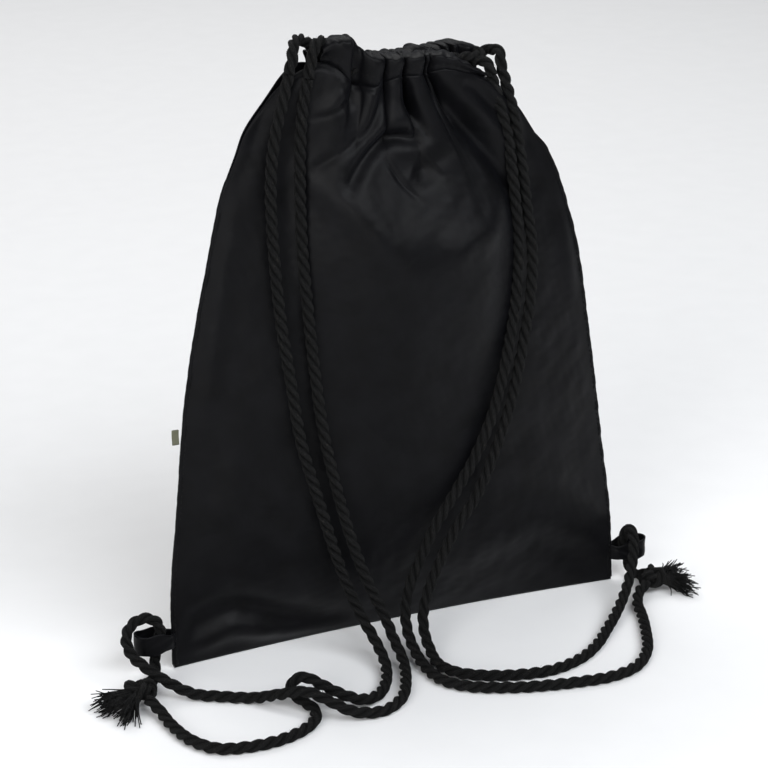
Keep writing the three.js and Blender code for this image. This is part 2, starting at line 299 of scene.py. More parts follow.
TWILL_TURN = math.radians(28)  # slope of the satin's weave


def satin_look():
    look = Look("black_satin", (0.004, 0.004, 0.005), 0.42)
    look.set(Specular_IOR_Level=0.085, Sheen_Weight=0.012, Sheen_Roughness=0.4, Sheen_Tint=(0.75, 0.8, 1, 1))
    twill = look.texture("ShaderNodeTexWave", "UV", turn=TWILL_TURN, Scale=480, Distortion=0.6, Detail=2)
    threads = look.texture("ShaderNodeTexNoise", "UV", stretch=(2600, 240, 1), Scale=1, Detail=2)
    crumple = look.texture("ShaderNodeTexNoise", "Object", Scale=55, Detail=4, Roughness=0.5)
    look.drive("Base Color", crumple, [(0.3, (0.0017, 0.0017, 0.0020)), (0.7, (0.0031, 0.0031, 0.0038))])
    look.drive("Roughness", threads, [(0.3, grey(0.38)), (0.7, grey(0.48))])
    look.bump([(crumple, "Fac", 0.0006), (twill, "Fac", 0.00005), (threads, "Fac", 0.00004)], 0.5)
    return look.material


def rope_look():
    look = Look("black_rope", (0.006, 0.006, 0.006), 0.9)
    look.set(Specular_IOR_Level=0.12, Sheen_Weight=0.03, Sheen_Roughness=0.5)
    yarns = look.texture("ShaderNodeTexWave", "UV", stretch=(1, 9, 1), Scale=1.6, Distortion=1.5, Detail=2)
    fibres = look.texture("ShaderNodeTexNoise", "UV", stretch=(14, 500, 1), Scale=1, Detail=3)
    specks = look.texture("ShaderNodeTexNoise", "Object", Scale=900, Detail=2)
    tone = look.ramp(specks, "Fac", [
        (0.42, grey(0.0045)), (0.66, grey(0.0120)), (0.78, (0.050, 0.040, 0.028)),
    ])
    strands = look.texture("ShaderNodeTexWave", "UV", Scale=math.pi / 10)  # one wave for each strand, which paints shade into the grooves between the strands
    # painted shade: the base colour falls to 0.15 of the rope's tone in the grooves between its strands
    painted_groove_shade = look.ramp(strands, "Fac", [(0.05, grey(0.15)), (0.75, grey(1))])
    tone_with_painted_shade = look.multiply(tone, painted_groove_shade)
    look.links.new(tone_with_painted_shade.outputs[2], look.shader.inputs["Base Color"])
    look.bump([(yarns, "Fac", 0.0009), (fibres, "Fac", 0.0008)], 0.9)
    return look.material


def label_look():
    look = Look("woven_label", (0.08, 0.08, 0.05), 0.8)
    weave = look.texture("ShaderNodeTexWave", "Object", Scale=500, Distortion=0.5)
    look.drive("Base Color", weave, [(0.2, (0.05, 0.052, 0.03)), (0.8, (0.12, 0.12, 0.08))])
    look.bump([(weave, "Fac", 0.0001)], 0.5)
    return look.material


def thread_look():
    look = Look("sewing_thread", (0.005, 0.005, 0.005), 0.6)
    look.set(Specular_IOR_Level=0.1)
    twist = look.texture("ShaderNodeTexWave", "Object", Scale=900, Distortion=0.5)
    look.drive("Base Color", twist, [(0.2, grey(0.003)), (0.8, grey(0.009))])
    look.bump([(twist, "Fac", 0.0001)], 0.5)
    return look.material


def floor_look():
    look = Look("studio_floor", (0.82, 0.82, 0.83), 0.9)
    look.set(Specular_IOR_Level=0.1)
    grain = look.texture("ShaderNodeTexNoise", "Object", Scale=30, Detail=3)
    look.drive("Base Color", grain, [(0.3, grey(0.83)), (0.7, grey(0.845))])
    return look.material


SATIN = satin_look()
ROPE = rope_look()
THREAD = thread_look()
LABEL = label_look()


# ---------------------------------------------------------------- camera

def make_camera():
    """Looks down at the strap side from 25 degrees to the left of it, 20 degrees up, 1.6 m away."""
    azimuth, elevation, distance = math.radians(-25), math.radians(20), 1.6
    target = Vector((-0.013, SEAM_Y, 0.179))
    toward = Vector((
        math.sin(azimuth) * math.cos(elevation),
        -math.cos(azimuth) * math.cos(elevation),
        math.sin(elevation),
    ))
    data = bpy.data.cameras.new("camera")
    data.sensor_width = 36
    data.lens = 111.6
    data.clip_end = 60
    camera = bpy.data.objects.new("camera", data)
    camera.location = target + toward * distance
    camera.rotation_euler = toward.to_track_quat("Z", "Y").to_euler()
    bpy.context.scene.collection.objects.link(camera)
    bpy.context.scene.camera = camera


# ---------------------------------------------------------------- ropes

STRANDS = 3
STRAND_SIDES = 8  # points round each strand
STRAND_RADIUS = 0.00205
ROPE_STEP = 0.0016  # spacing of the rings along a rope


def rope_outline(sides):
    """Radii round a rope of three round strands, over one strand."""
    offset = CORD / 2 - STRAND_RADIUS
    angles = (np.arange(sides) / sides - 0.5) * 2 * math.pi / STRANDS
    return offset * np.cos(angles) + np.sqrt(STRAND_RADIUS**2 - (offset * np.sin(angles)) ** 2)


def rope_rings(path):
    """Rings of points round a path, turning with the twist, and their UVs."""
    along = distances_along(path)
    radii = np.tile(rope_outline(STRAND_SIDES), STRANDS)
    count = len(radii)
    turn = -2 * math.pi * along[:, None] / PITCH
    angle = turn + np.arange(count)[None] * 2 * math.pi / count
    points = rings_round(path, angle, radii[None])
    u = np.broadcast_to(np.arange(count)[None] / STRAND_SIDES, angle.shape)
    v = np.broadcast_to(along[:, None] / PITCH, angle.shape)
    return points, np.stack([u, v], axis=-1)


FUZZ_PER_METRE = 900
FUZZ_REACH = 0.0009  # length of each half of a fibre, about
FUZZ_RADII = (0.00009, 0.00007)  # at the root and half way up
FUZZ_FLOOR = 0.0002  # no fibre comes lower than this


def fuzz_blades(path, rng):
    """Short fibres that stand out of a rope: thin three-sided spikes."""
    tangent, normal, across = path_frames(path)
    vertices, faces = [], []
    for _ in range(int(path_length(path) * FUZZ_PER_METRE)):
        i = rng.integers(1, len(path) - 1)
        angle = rng.uniform(0, 2 * math.pi)
        out = normal[i] * math.cos(angle) + across[i] * math.sin(angle)
        side = np.cross(tangent[i], out)
        lean = tangent[i] * rng.normal(0, 1.2) + side * rng.normal(0, 0.8)
        root = path[i] + out * CORD * 0.40
        middle = root + (out * 0.8 + lean * 0.5) * FUZZ_REACH
        tip = middle + (out * rng.uniform(0.1, 0.5) + lean) * FUZZ_REACH
        if min(root[2], middle[2], tip[2]) < FUZZ_FLOOR:
            continue
        base = len(vertices)
        for centre, radius in zip((root, middle), FUZZ_RADII):
            for k in range(3):
                turn = 2 * math.pi * k / 3
                vertices.append(centre + (tangent[i] * math.cos(turn) + side * math.sin(turn)) * radius)
        vertices.append(tip)
        for k in range(3):
            j = (k + 1) % 3
            faces.append((base + k, base + j, base + 3 + j, base + 3 + k))
            faces.append((base + 3 + k, base + 3 + j, base + 6))
        faces.append((base + 2, base + 1, base))
    return vertices, faces


def make_rope(name, points, seed):
    """A twisted rope along the points; returns it and its path."""
    path = smooth_path(points, ROPE_STEP)
    rings, uvs = rope_rings(path)
    twisted = rings.reshape(-1, 3), capped_tube_faces(*rings.shape[:2])
    fuzz = fuzz_blades(path, np.random.default_rng(seed))
    vertices, faces = merged([twisted, fuzz])
    vertices = np.array(vertices)
    vertices[:, 2] = np.maximum(vertices[:, 2], FLOOR_GAP)
    uvs = np.vstack([uvs.reshape(-1, 2), np.zeros((len(fuzz[0]), 2))])
    return new_object(name, vertices, faces, ROPE, uvs), path


LEFT_TO_KNOT = [
    (-0.085, -0.034, 0.400), (-0.0886, -0.034, 0.386), (-0.096, -0.0345, 0.357),
    (-0.0995, -0.0365, 0.328), (-0.100, -0.041, 0.289), (-0.098, -0.046, 0.244), (-0.093, -0.050, 0.201),
    (-0.088, -0.053, 0.162), (-0.077, -0.053, 0.122), (-0.066, -0.053, 0.084), (-0.056, -0.054, 0.053),
    (-0.047, -0.059, 0.029), (-0.042, -0.069, 0.015), (-0.043, -0.086, 0.007), (-0.051, -0.105, 0.0045),
    (-0.065, -0.122, 0.005), (-0.080, -0.128, 0.008), (-0.093, -0.123, 0.013), (-0.102, -0.114, 0.017),
    (-0.109, -0.104, 0.019), (-0.116, -0.102, 0.017), (-0.118, -0.103, 0.011), (-0.114, -0.109, 0.006),
    (-0.110, -0.119, 0.0042), (-0.114, -0.133, 0.0042), (-0.127, -0.144, 0.0042),
    (-0.146, -0.150, 0.0042), (-0.166, -0.150, 0.0042), (-0.185, -0.144, 0.0042),
    (-0.196, -0.128, 0.0042), (-0.201, -0.102, 0.0045), (-0.202, -0.085, 0.006),
    (-0.2053, -0.0722, 0.0092),
]
LEFT_THROUGH_TAB = [
    (-0.072, -0.034, 0.396), (-0.0753, -0.0343, 0.382), (-0.078, -0.0355, 0.362), (-0.080, -0.038, 0.337),
    (-0.081, -0.042, 0.294), (-0.080, -0.047, 0.255), (-0.077, -0.051, 0.209), (-0.072, -0.054, 0.164),
    (-0.063, -0.056, 0.121), (-0.053, -0.058, 0.083), (-0.043, -0.060, 0.054), (-0.034, -0.065, 0.032),
    (-0.030, -0.072, 0.016), (-0.030, -0.086, 0.007), (-0.038, -0.108, 0.0045), (-0.053, -0.132, 0.0042),
    (-0.071, -0.142, 0.0042), (-0.090, -0.140, 0.007), (-0.104, -0.132, 0.014), (-0.115, -0.122, 0.018),
    (-0.127, -0.109, 0.013), (-0.139, -0.092, 0.005), (-0.157, -0.080, 0.0042), (-0.173, -0.070, 0.005),
    (-0.187, -0.061, 0.012), (-0.198, -0.050, 0.0195), (-0.204, -0.037, 0.025), (-0.2035, -0.026, 0.032),
    (-0.197, -0.0195, 0.0375), (-0.188, -0.0185, 0.040), (-0.1805, -0.0198, 0.037),
    (-0.1774, -0.0203, 0.030), (-0.1794, -0.020, 0.022), (-0.1814, -0.0197, 0.014),
    (-0.183, -0.023, 0.007), (-0.186, -0.031, 0.0046), (-0.191, -0.041, 0.0055), (-0.196, -0.049, 0.0085),
    (-0.1998, -0.0546, 0.0102),
]
RIGHT_TO_KNOT = [
    (0.0575, -0.034, 0.386), (0.062, -0.035, 0.370), (0.0655, -0.0363, 0.357), (0.0688, -0.0373, 0.344),
    (0.0708, -0.039, 0.326), (0.073, -0.042, 0.299), (0.074, -0.045, 0.269), (0.071, -0.048, 0.235),
    (0.064, -0.052, 0.202), (0.054, -0.054, 0.165), (0.041, -0.055, 0.135), (0.022, -0.055, 0.104),
    (0.009, -0.055, 0.085), (-0.001, -0.055, 0.065), (-0.010, -0.056, 0.046), (-0.015, -0.059, 0.030),
    (-0.017, -0.066, 0.017), (-0.018, -0.080, 0.008), (-0.019, -0.099, 0.0045), (-0.017, -0.119, 0.0042),
    (-0.006, -0.134, 0.0042), (0.017, -0.147, 0.0042), (0.041, -0.155, 0.0042), (0.065, -0.160, 0.0042),
    (0.088, -0.162, 0.0042), (0.110, -0.156, 0.0042), (0.129, -0.138, 0.0042), (0.144, -0.111, 0.0042),
    (0.154, -0.089, 0.0042), (0.160, -0.073, 0.005), (0.168, -0.062, 0.008), (0.1775, -0.056, 0.010),
]
RIGHT_THROUGH_TAB = [
    (0.066, -0.034, 0.387), (0.0711, -0.034, 0.3708), (0.076, -0.0346, 0.350), (0.0797, -0.0365, 0.326),
    (0.0822, -0.040, 0.298), (0.085, -0.044, 0.267), (0.082, -0.048, 0.234), (0.075, -0.051, 0.200),
    (0.065, -0.054, 0.163), (0.054, -0.055, 0.133), (0.038, -0.057, 0.101), (0.024, -0.058, 0.083),
    (0.012, -0.060, 0.064), (0.002, -0.062, 0.045), (-0.005, -0.066, 0.028), (-0.007, -0.072, 0.016),
    (-0.008, -0.083, 0.008), (-0.009, -0.097, 0.0045), (-0.004, -0.112, 0.0042), (0.008, -0.123, 0.0042),
    (0.030, -0.133, 0.0042), (0.056, -0.137, 0.0042), (0.082, -0.130, 0.0042), (0.102, -0.117, 0.0045),
    (0.118, -0.102, 0.0055), (0.134, -0.087, 0.008), (0.149, -0.072, 0.0125), (0.162, -0.058, 0.020),
    (0.171, -0.0465, 0.028), (0.1765, -0.038, 0.0355), (0.1795, -0.030, 0.0395), (0.180, -0.0235, 0.0385),
    (0.1779, -0.0204, 0.0315), (0.1799, -0.020, 0.022), (0.1821, -0.0198, 0.0145),
    (0.1834, -0.0235, 0.0065), (0.1846, -0.031, 0.0048), (0.1854, -0.0396, 0.0093),
]

LEFT_FRONT_EXIT = [
    (-0.0719, -0.034, 0.3964), (-0.0694, -0.034, 0.408), (-0.0655, -0.0325, 0.4175),
    (-0.060, -0.029, 0.4175), (-0.056, -0.0278, 0.4095),
]
LEFT_BACK_EXIT = [
    (-0.057, -0.0128, 0.4085), (-0.065, -0.0145, 0.415), (-0.0735, -0.021, 0.4185),
    (-0.0798, -0.029, 0.416), (-0.0826, -0.034, 0.409), (-0.0849, -0.034, 0.4004),
]
RIGHT_FRONT_EXIT = [
    (0.0574, -0.034, 0.3864), (0.0556, -0.034, 0.3925), (0.0495, -0.0305, 0.3965),
]
RIGHT_BACK_EXIT = [
    (0.054, -0.0115, 0.3956), (0.0625, -0.0145, 0.398), (0.066, -0.022, 0.400), (0.065, -0.031, 0.3985),
    (0.0643, -0.034, 0.3926), (0.06585, -0.034, 0.3875),
]

RUN_HEIGHT = {"left": 0.3985, "right": 0.3915}  # the two ropes pass one above the other
RUN_OFFSET = {"left": 0.0098, "right": 0.0062}  # and side by side, this far from the seam plane
TURN_ROOM = 0.0115  # how far a rope's U-turn stands beyond the end of the casings


def casing_run(side_name, front_exit, back_exit):
    """Route of a rope through both casings: in at one end, round the far end and back."""
    exit_side = -1 if side_name == "left" else 1
    offset, z = RUN_OFFSET[side_name], RUN_HEIGHT[side_name]
    left_end, right_end = low("front_casing").x, high("front_casing").x
    centre_x = (left_end + right_end) / 2
    half = (right_end - left_end) / 2
    shares = (1, 0.6, 0.2, -0.2, -0.6, -1)
    there = [(centre_x + half * share * exit_side, SEAM_Y - offset, z) for share in shares]
    turn_x = centre_x - exit_side * (half + TURN_ROOM)
    bend = ((0.008, -offset), (0.002, -0.005), (0, 0), (0.002, 0.005), (0.008, offset))
    turn = [(turn_x + exit_side * inset, SEAM_Y + y, z) for inset, y in bend]
    back = [(x, 2 * SEAM_Y - y, z) for x, y, z in reversed(there)]
    return [*front_exit, *there, *turn, *back, *back_exit]


# ---------------------------------------------------------------- cloth shape

# Against the share of the panel's height: the share of the half width at the base, and the middle's x.
OUTLINE = [
    (0, 1), (0.14, 0.988), (0.28, 0.947), (0.5, 0.882), (0.72, 0.782), (0.86, 0.676), (0.90, 0.625),
    (0.942, 0.570), (0.986, 0.483), (1, 0.447),
]
CENTRE_X = [
    (0, 0), (0.28, -0.003), (0.5, -0.005), (0.72, -0.005), (0.86, -0.009), (0.90, -0.0108),
    (0.942, -0.0131), (0.986, -0.0145), (1, -0.016),
]
# How far the panels stand out of the seam plane, up their middle.
FRONT_BULGE = [
    (0, -0.008), (0.1, 0.012), (0.28, 0.028), (0.5, 0.031), (0.72, 0.024), (0.86, 0.013), (1, 0.008),
]
BACK_BULGE = [
    (0, 0.046), (0.05, 0.057), (0.2, 0.07), (0.45, 0.068), (0.7, 0.051), (0.86, 0.029), (1, 0.012),
]
BASE_SHARE = 0.15  # part of the back sheet that lies on the floor as the base

# The mouth in plan, along the stitch line from left to right: x, and distance out from the seam plane.
FRONT_PLEATS = [
    (-0.092, 0.002), (-0.084, 0.005), (-0.074, 0.0075), (-0.064, 0.0095), (-0.058, 0.012), (-0.053, 0.016),
    (-0.048, 0.0185), (-0.0445, 0.017), (-0.043, 0.0130), (-0.0415, 0.0108), (-0.039, 0.0106),
    (-0.0365, 0.012), (-0.035, 0.0155), (-0.0315, 0.0195), (-0.0275, 0.0208), (-0.0235, 0.0190),
    (-0.022, 0.0155), (-0.0215, 0.0106), (-0.0208, 0.0155), (-0.0185, 0.0200), (-0.0145, 0.0220),
    (-0.0105, 0.0202), (-0.0085, 0.0155), (-0.0082, 0.0106), (-0.0076, 0.0155), (-0.0055, 0.0200),
    (-0.001, 0.0220), (0.0035, 0.0208), (0.006, 0.0160), (0.0072, 0.0106), (0.0085, 0.0140),
    (0.0098, 0.0150), (0.0108, 0.0106), (0.0125, 0.0148), (0.016, 0.0180), (0.022, 0.0195),
    (0.032, 0.0195), (0.040, 0.0170), (0.047, 0.0130), (0.054, 0.008), (0.060, 0.003),
]
# Height of the casings' top edge along x.
FRONT_TOP = [
    (-0.064, 0.413), (-0.057, 0.419), (-0.050, 0.4205), (-0.040, 0.4184), (-0.036, 0.413), (-0.029, 0.408),
    (-0.0145, 0.4062), (0.000, 0.4055), (0.010, 0.4055), (0.018, 0.4045), (0.025, 0.4028), (0.038, 0.396),
    (0.048, 0.3905), (0.055, 0.387),
]
BACK_TOP = [
    (-0.060, 0.408), (-0.045, 0.408), (-0.030, 0.4045), (-0.0154, 0.4027), (0.000, 0.4025), (0.0095, 0.4035),
    (0.0116, 0.405), (0.018, 0.403), (0.0295, 0.405), (0.045, 0.4045), (0.055, 0.402), (0.062, 0.398),
]
# How far the stitch line stands above the lowest stitch, along the mouth.
FRONT_STITCH_LIFT = [
    (-0.092, 0.001), (-0.084, 0.009), (-0.072, 0.016), (-0.060, 0.019), (-0.053, 0.0147), (-0.045, 0.006),
    (-0.036, 0.0025), (-0.028, 0.001), (-0.022, 0.003), (-0.0145, 0.0055), (0.000, 0.0055), (0.010, 0.006),
    (0.020, 0.0075), (0.032, 0.005), (0.0445, 0.002), (0.060, -0.002),
]
BACK_STITCH_LIFT = [
    (-0.092, 0.001), (-0.084, 0.009), (-0.072, 0.016), (-0.055, 0.012), (-0.030, 0.002), (0.030, 0.002),
    (0.050, 0.002), (0.060, -0.002),
]
CASING_ENDS = (-0.062, 0.055)  # x where the casings begin and end; the panels' shoulders reach further
LOWEST_STITCH = STITCH_Z - 0.0022
PLEAT_LIFT = 0.17  # the stitch line rides up on the pleats by this share of their depth


def back_pleats():
    """Plan of the back mouth: about a dozen small ruffles between two wider ends."""
    rng = np.random.default_rng(4)
    points = [(-0.092, 0.002), (-0.080, 0.006), (-0.066, 0.010), (-0.055, 0.016), (-0.046, 0.018)]
    x = -0.040
    while x < 0.026:
        width = rng.uniform(0.0045, 0.0062)
        valley, crest = rng.uniform(0.0120, 0.0132), rng.uniform(0.0185, 0.0205)
        points += [(x, valley), (x + width * 0.28, crest - 0.002), (x + width * 0.6, crest)]
        x += width
    return points + [(x, 0.013), (0.033, 0.017), (0.043, 0.018), (0.052, 0.012), (0.060, 0.004)]


PLEATS = {-1: FRONT_PLEATS, 1: back_pleats()}
TOPS = {-1: FRONT_TOP, 1: BACK_TOP}
BULGES = {-1: FRONT_BULGE, 1: BACK_BULGE}
STITCH_LIFTS = {-1: FRONT_STITCH_LIFT, 1: BACK_STITCH_LIFT}


def mouth_plan(side, u):
    """X and outward distance of the gathered stitch line at u, -1 to 1 in even lengths of cloth."""
    plan = np.array([(x, out, 0) for x, out in PLEATS[side]])
    dense = smooth_path(plan, 0.0004)
    share = np.linspace(-1, 1, len(dense))
    return np.interp(u, share, dense[:, 0]), np.interp(u, share, dense[:, 1])


def stitch_height(side, u):
    """Height of the stitch line at u."""
    x, out = mouth_plan(side, u)
    return LOWEST_STITCH + PLEAT_LIFT * out + curve_value(STITCH_LIFTS[side], x)


GATHER_FROM, PLEAT_FROM = 0.72, 0.85  # shares of the height where the cloth begins to narrow and to pleat
EDGE_IN, EDGE_OUT = 0.0015, 0.0009  # the panel's edge: in from the seam's edge, out from its plane
FULLNESS = {-1: 1.0, 1: 0.85}  # power of the cross section; the back is a little fuller at its sides


def cloth_point(side, u, v):
    """The panel without its folds: u across in even lengths of cloth, v up from base to stitch line."""
    mouth_x, mouth_out = mouth_plan(side, u)
    gathered = smoothstep(GATHER_FROM, 1, v)
    pleated = smoothstep(PLEAT_FROM, 1, v) ** 1.2
    half = HALF_WIDTH * curve_value(OUTLINE, v)
    centre = curve_value(CENTRE_X, v)
    smooth_x = centre + (half - EDGE_IN) * u
    mouth_half = HALF_WIDTH * OUTLINE[-1][1]
    pleated_x = centre + half * (mouth_x - CENTRE_X[-1][1]) / mouth_half
    round_share = np.clip(1 - u * u, 0, 1) ** FULLNESS[side]
    smooth_out = EDGE_OUT + curve_value(BULGES[side], v) * round_share
    x = smooth_x + (pleated_x - smooth_x) * gathered
    out = smooth_out + (mouth_out - smooth_out) * pleated
    z = CLOTH + v * (stitch_height(side, u) - CLOTH)
    return np.stack([x, SEAM_Y + side * out, z], axis=-1)


# Folds as strokes on the cloth: kind, height, half width, then x and z along the fold. A negative ridge is a
# groove. A step is high on the left of its direction and low on the right.
FRONT_FOLDS = [
    ("ridge", 0.0040, 0.022, [(-0.012, 0.380), (-0.002, 0.350), (0.004, 0.325)]),
    ("ridge", -0.0080, 0.0038, [
        (-0.0080, 0.392), (-0.0072, 0.384), (-0.0054, 0.376), (0.0008, 0.364), (0.0060, 0.355),
    ]),
    ("ridge", -0.0085, 0.0065, [
        (0.0085, 0.392), (0.0125, 0.386), (0.0235, 0.372), (0.0345, 0.357), (0.0465, 0.343), (0.0590, 0.326),
        (0.0670, 0.310), (0.0710, 0.297),
    ]),
    ("ridge", 0.0035, 0.0060, [
        (0.024, 0.387), (0.038, 0.374), (0.053, 0.360), (0.066, 0.344), (0.076, 0.326),
    ]),
    ("ridge", -0.0045, 0.0060, [(0.034, 0.386), (0.050, 0.372), (0.062, 0.357)]),
    ("ridge", -0.0045, 0.0035, [
        (-0.0222, 0.392), (-0.0234, 0.388), (-0.0266, 0.374), (-0.0347, 0.360), (-0.0463, 0.352),
    ]),
    ("ridge", 0.0030, 0.0070, [(0.0000, 0.364), (-0.0120, 0.366), (-0.0240, 0.362), (-0.0360, 0.353)]),
    ("ridge", -0.0070, 0.0048, [
        (0.0049, 0.3527), (-0.0033, 0.3520), (-0.0139, 0.3545), (-0.0227, 0.3530), (-0.0329, 0.3463),
        (-0.0431, 0.3362), (-0.0510, 0.3249),
    ]),
    ("ridge", -0.0045, 0.0085, [(-0.0040, 0.336), (0.0025, 0.3325), (0.0080, 0.337)]),
    ("ridge", -0.0018, 0.0020, [(-0.0232, 0.3424), (-0.0193, 0.3336), (-0.0125, 0.3234), (-0.0042, 0.3144)]),
    ("ridge", 0.0040, 0.0120, [
        (-0.0700, 0.335), (-0.0654, 0.328), (-0.0479, 0.310), (-0.0289, 0.289), (-0.0180, 0.275),
    ]),
    ("ridge", 0.0040, 0.0120, [(0.0620, 0.312), (0.0475, 0.291), (0.0285, 0.286), (0.0100, 0.275)]),
    ("ridge", -0.0016, 0.0020, [(-0.0727, 0.3699), (-0.0614, 0.3723), (-0.0478, 0.3788)]),
    ("ridge", -0.0018, 0.0030, [(-0.0710, 0.338), (-0.0550, 0.347), (-0.0440, 0.352)]),
    ("ridge", -0.0050, 0.0050, [(-0.0456, 0.3928), (-0.0452, 0.3814), (-0.0520, 0.3770)]),
    ("ridge", 0.0020, 0.0050, [(-0.0500, 0.388), (-0.0580, 0.378), (-0.0660, 0.372)]),
    ("step", 0.0055, 0.009, [(-0.040, 0.004), (-0.084, 0.015), (-0.129, 0.029), (-0.164, 0.014)]),
    ("ridge", 0.0030, 0.011, [(-0.118, 0.320), (-0.132, 0.289), (-0.142, 0.223), (-0.148, 0.170)]),
    ("ridge", 0.0035, 0.013, [(-0.120, 0.170), (-0.126, 0.130), (-0.121, 0.070)]),
    ("ridge", -0.0030, 0.010, [(-0.081, 0.369), (-0.085, 0.331), (-0.090, 0.260)]),
    ("ridge", -0.0030, 0.012, [(0.088, 0.350), (0.108, 0.300), (0.122, 0.250)]),
    ("ridge", 0.0035, 0.010, [(0.098, 0.340), (0.118, 0.290), (0.134, 0.220)]),
    ("ridge", 0.0030, 0.018, [(0.140, 0.060), (0.100, 0.100), (0.040, 0.110)]),
    ("ridge", -0.0030, 0.014, [(0.150, 0.020), (0.100, 0.040), (0.050, 0.030)]),
]
BACK_FOLDS = [
    ("ridge", 0.0060, 0.024, [(0.060, 0.320), (0.030, 0.270), (-0.020, 0.262), (-0.060, 0.300)]),
    ("ridge", -0.0055, 0.010, [(0.012, 0.384), (0.016, 0.350), (0.034, 0.318)]),
    ("ridge", -0.0055, 0.010, [(-0.012, 0.384), (-0.020, 0.352), (-0.044, 0.322)]),
    ("step", 0.0060, 0.010, [(-0.034, 0.384), (-0.056, 0.350), (-0.078, 0.300)]),
    ("step", -0.0060, 0.010, [(0.034, 0.384), (0.056, 0.350), (0.080, 0.300)]),
    ("ridge", -0.0045, 0.016, [
        (-0.120, 0.100), (-0.070, 0.080), (0.000, 0.086), (0.060, 0.072), (0.120, 0.094),
    ]),
    ("ridge", 0.0040, 0.016, [(-0.110, 0.180), (-0.124, 0.120), (-0.118, 0.050)]),
    ("ridge", 0.0040, 0.016, [(0.112, 0.190), (0.126, 0.130), (0.116, 0.056)]),
]
FOLDS = {-1: FRONT_FOLDS, 1: BACK_FOLDS}


def nearest_on_stroke(stroke, here):
    """Distance to a stroke, the share of the way along it, and the distance signed by its side."""
    best = np.full(here.shape[:-1], np.inf)
    share, signed = np.zeros_like(best), np.zeros_like(best)
    for i, (a, b) in enumerate(zip(stroke, stroke[1:])):
        along = b - a
        t = np.clip((here - a) @ along / (along @ along), 0, 1)
        gap = here - (a + t[..., None] * along)
        distance = np.linalg.norm(gap, axis=-1)
        nearer = distance < best
        best = np.where(nearer, distance, best)
        share = np.where(nearer, (i + t) / (len(stroke) - 1), share)
        side = along[0] * gap[..., 1] - along[1] * gap[..., 0]
        signed = np.where(nearer, np.sign(side) * distance, signed)
    return best, share, signed


def fold_heights(folds, x, z):
    """Outward height of the folds at each (x, z)."""
    total = np.zeros_like(x)
    here = np.stack([x, z], axis=-1)
    for kind, height, width, points in folds:
        stroke = smooth_path([(px, 0, pz) for px, pz in points], 0.004)[:, [0, 2]]
        best, share, signed = nearest_on_stroke(stroke, here)
        taper = np.sin(math.pi * np.clip(share * 0.94 + 0.03, 0, 1)) ** 0.6
        reach = best / width
        if kind == "step":
            profile = signed / width * np.exp(0.5 - 0.5 * reach**2)
        else:
            profile = np.exp(-(reach**2))
        total += height * taper * profile
    return total


# Height of the belly's crest along x.
BELLY_CREST = [
    (-0.090, 0.352), (-0.065, 0.327), (-0.040, 0.299), (-0.016, 0.277), (0.015, 0.281), (0.045, 0.290),
    (0.065, 0.312), (0.085, 0.350),
]
BELLY_DEEP = 0.022
BELLY_ABOVE, BELLY_BELOW = 0.105, 0.125  # how far it takes to fade out above and below the crest
BELLY_HALF = 0.070  # half its width
CREST_ROUNDING = 0.006
CREST_DROP = 0.0775  # the root of the rounding, near enough, so that the crest keeps its height


def belly_height(x, z):
    """The front's belly between the straps: it swells down to a V-shaped crest and falls away below."""
    crest = curve_value(BELLY_CREST, x)
    away = np.where(z > crest, (z - crest) / BELLY_ABOVE, (crest - z) / BELLY_BELOW)
    share = 1 - np.clip(np.sqrt(away**2 + CREST_ROUNDING) - CREST_DROP, 0, 1)
    rounded = 0.5 * share + 0.5 * share * share * (3 - 2 * share)
    return BELLY_DEEP * rounded * np.exp(-((x / BELLY_HALF) ** 4))


BROAD_HIGH, BROAD_SIZE = 0.0018, 0.11  # broad uneven waves over the panels
CRUMPLE_HIGH, CRUMPLE_SIZE = 0.0005, 0.028
FAN_HIGH, FAN_SIZE = 0.0020, 0.33  # ripples that fan out from the gathers, sized in shares of the half width
FAN_LENGTH = 0.18  # the smaller this is, the longer they are for their width


def folded_cloth_point(side, u, v):
    """A point of a panel with its folds, wrinkles and the pull of the gathers."""
    point = cloth_point(side, u, v)
    x, z = point[..., 0], point[..., 2]
    edge = smoothstep(0, 0.10, 1 - np.abs(u)) * smoothstep(0, 0.04, v) * smoothstep(0, 0.012, 1 - v)
    height = fold_heights(FOLDS[side], x, z)
    if side < 0:
        height += belly_height(x, z)
    plane = np.stack([x, z], axis=-1)
    height += BROAD_HIGH * ripple_noise(plane, BROAD_SIZE, 11 + side) * (1 - 0.5 * v)
    height += CRUMPLE_HIGH * ripple_noise(plane, CRUMPLE_SIZE, 21 + side)
    fan = np.stack([u, v * FAN_LENGTH], axis=-1)
    height += FAN_HIGH * ripple_noise(fan, FAN_SIZE, 31 + side, octaves=2) * smoothstep(0.70, 0.95, v)
    point[..., 1] += side * height * edge
    return point


def grid_sheet(name, grid, point_at, flat, outward):
    """A sheet over point_at(u, v) arrays, on a grid of rows and columns; its UVs are metres of flat cloth."""
    rows, columns = grid
    u, v = np.meshgrid(np.linspace(-1, 1, columns), np.linspace(0, 1, rows))
    points = point_at(u, v).reshape(-1, 3)
    points[:, 2] = np.maximum(points[:, 2], CLOTH / 2)
    uvs = np.stack([u * flat[0] / 2, v * flat[1]], axis=-1).reshape(-1, 2)
    faces = grid_faces(rows, columns)
    if outward > 0:
        faces = [face[::-1] for face in faces]
    sheet = new_object(name, points, faces, SATIN, uvs)
    thicken(sheet, CLOTH)
    return sheet


def back_point(u, v):
    """The back panel, whose first stretch is the base on the floor."""
    up = np.clip((v - BASE_SHARE) / (1 - BASE_SHARE), 0, 1)
    wall = folded_cloth_point(1, u, up)
    front_edge = cloth_point(-1, u, np.zeros_like(v))
    back_edge = cloth_point(1, u, np.zeros_like(v))
    share = np.clip(v / BASE_SHARE, 0, 1)[..., None]
    base = front_edge * (1 - share) + back_edge * share
    base[..., 1] += 0.001 * (1 - share[..., 0])
    return np.where((v < BASE_SHARE)[..., None], base, wall)


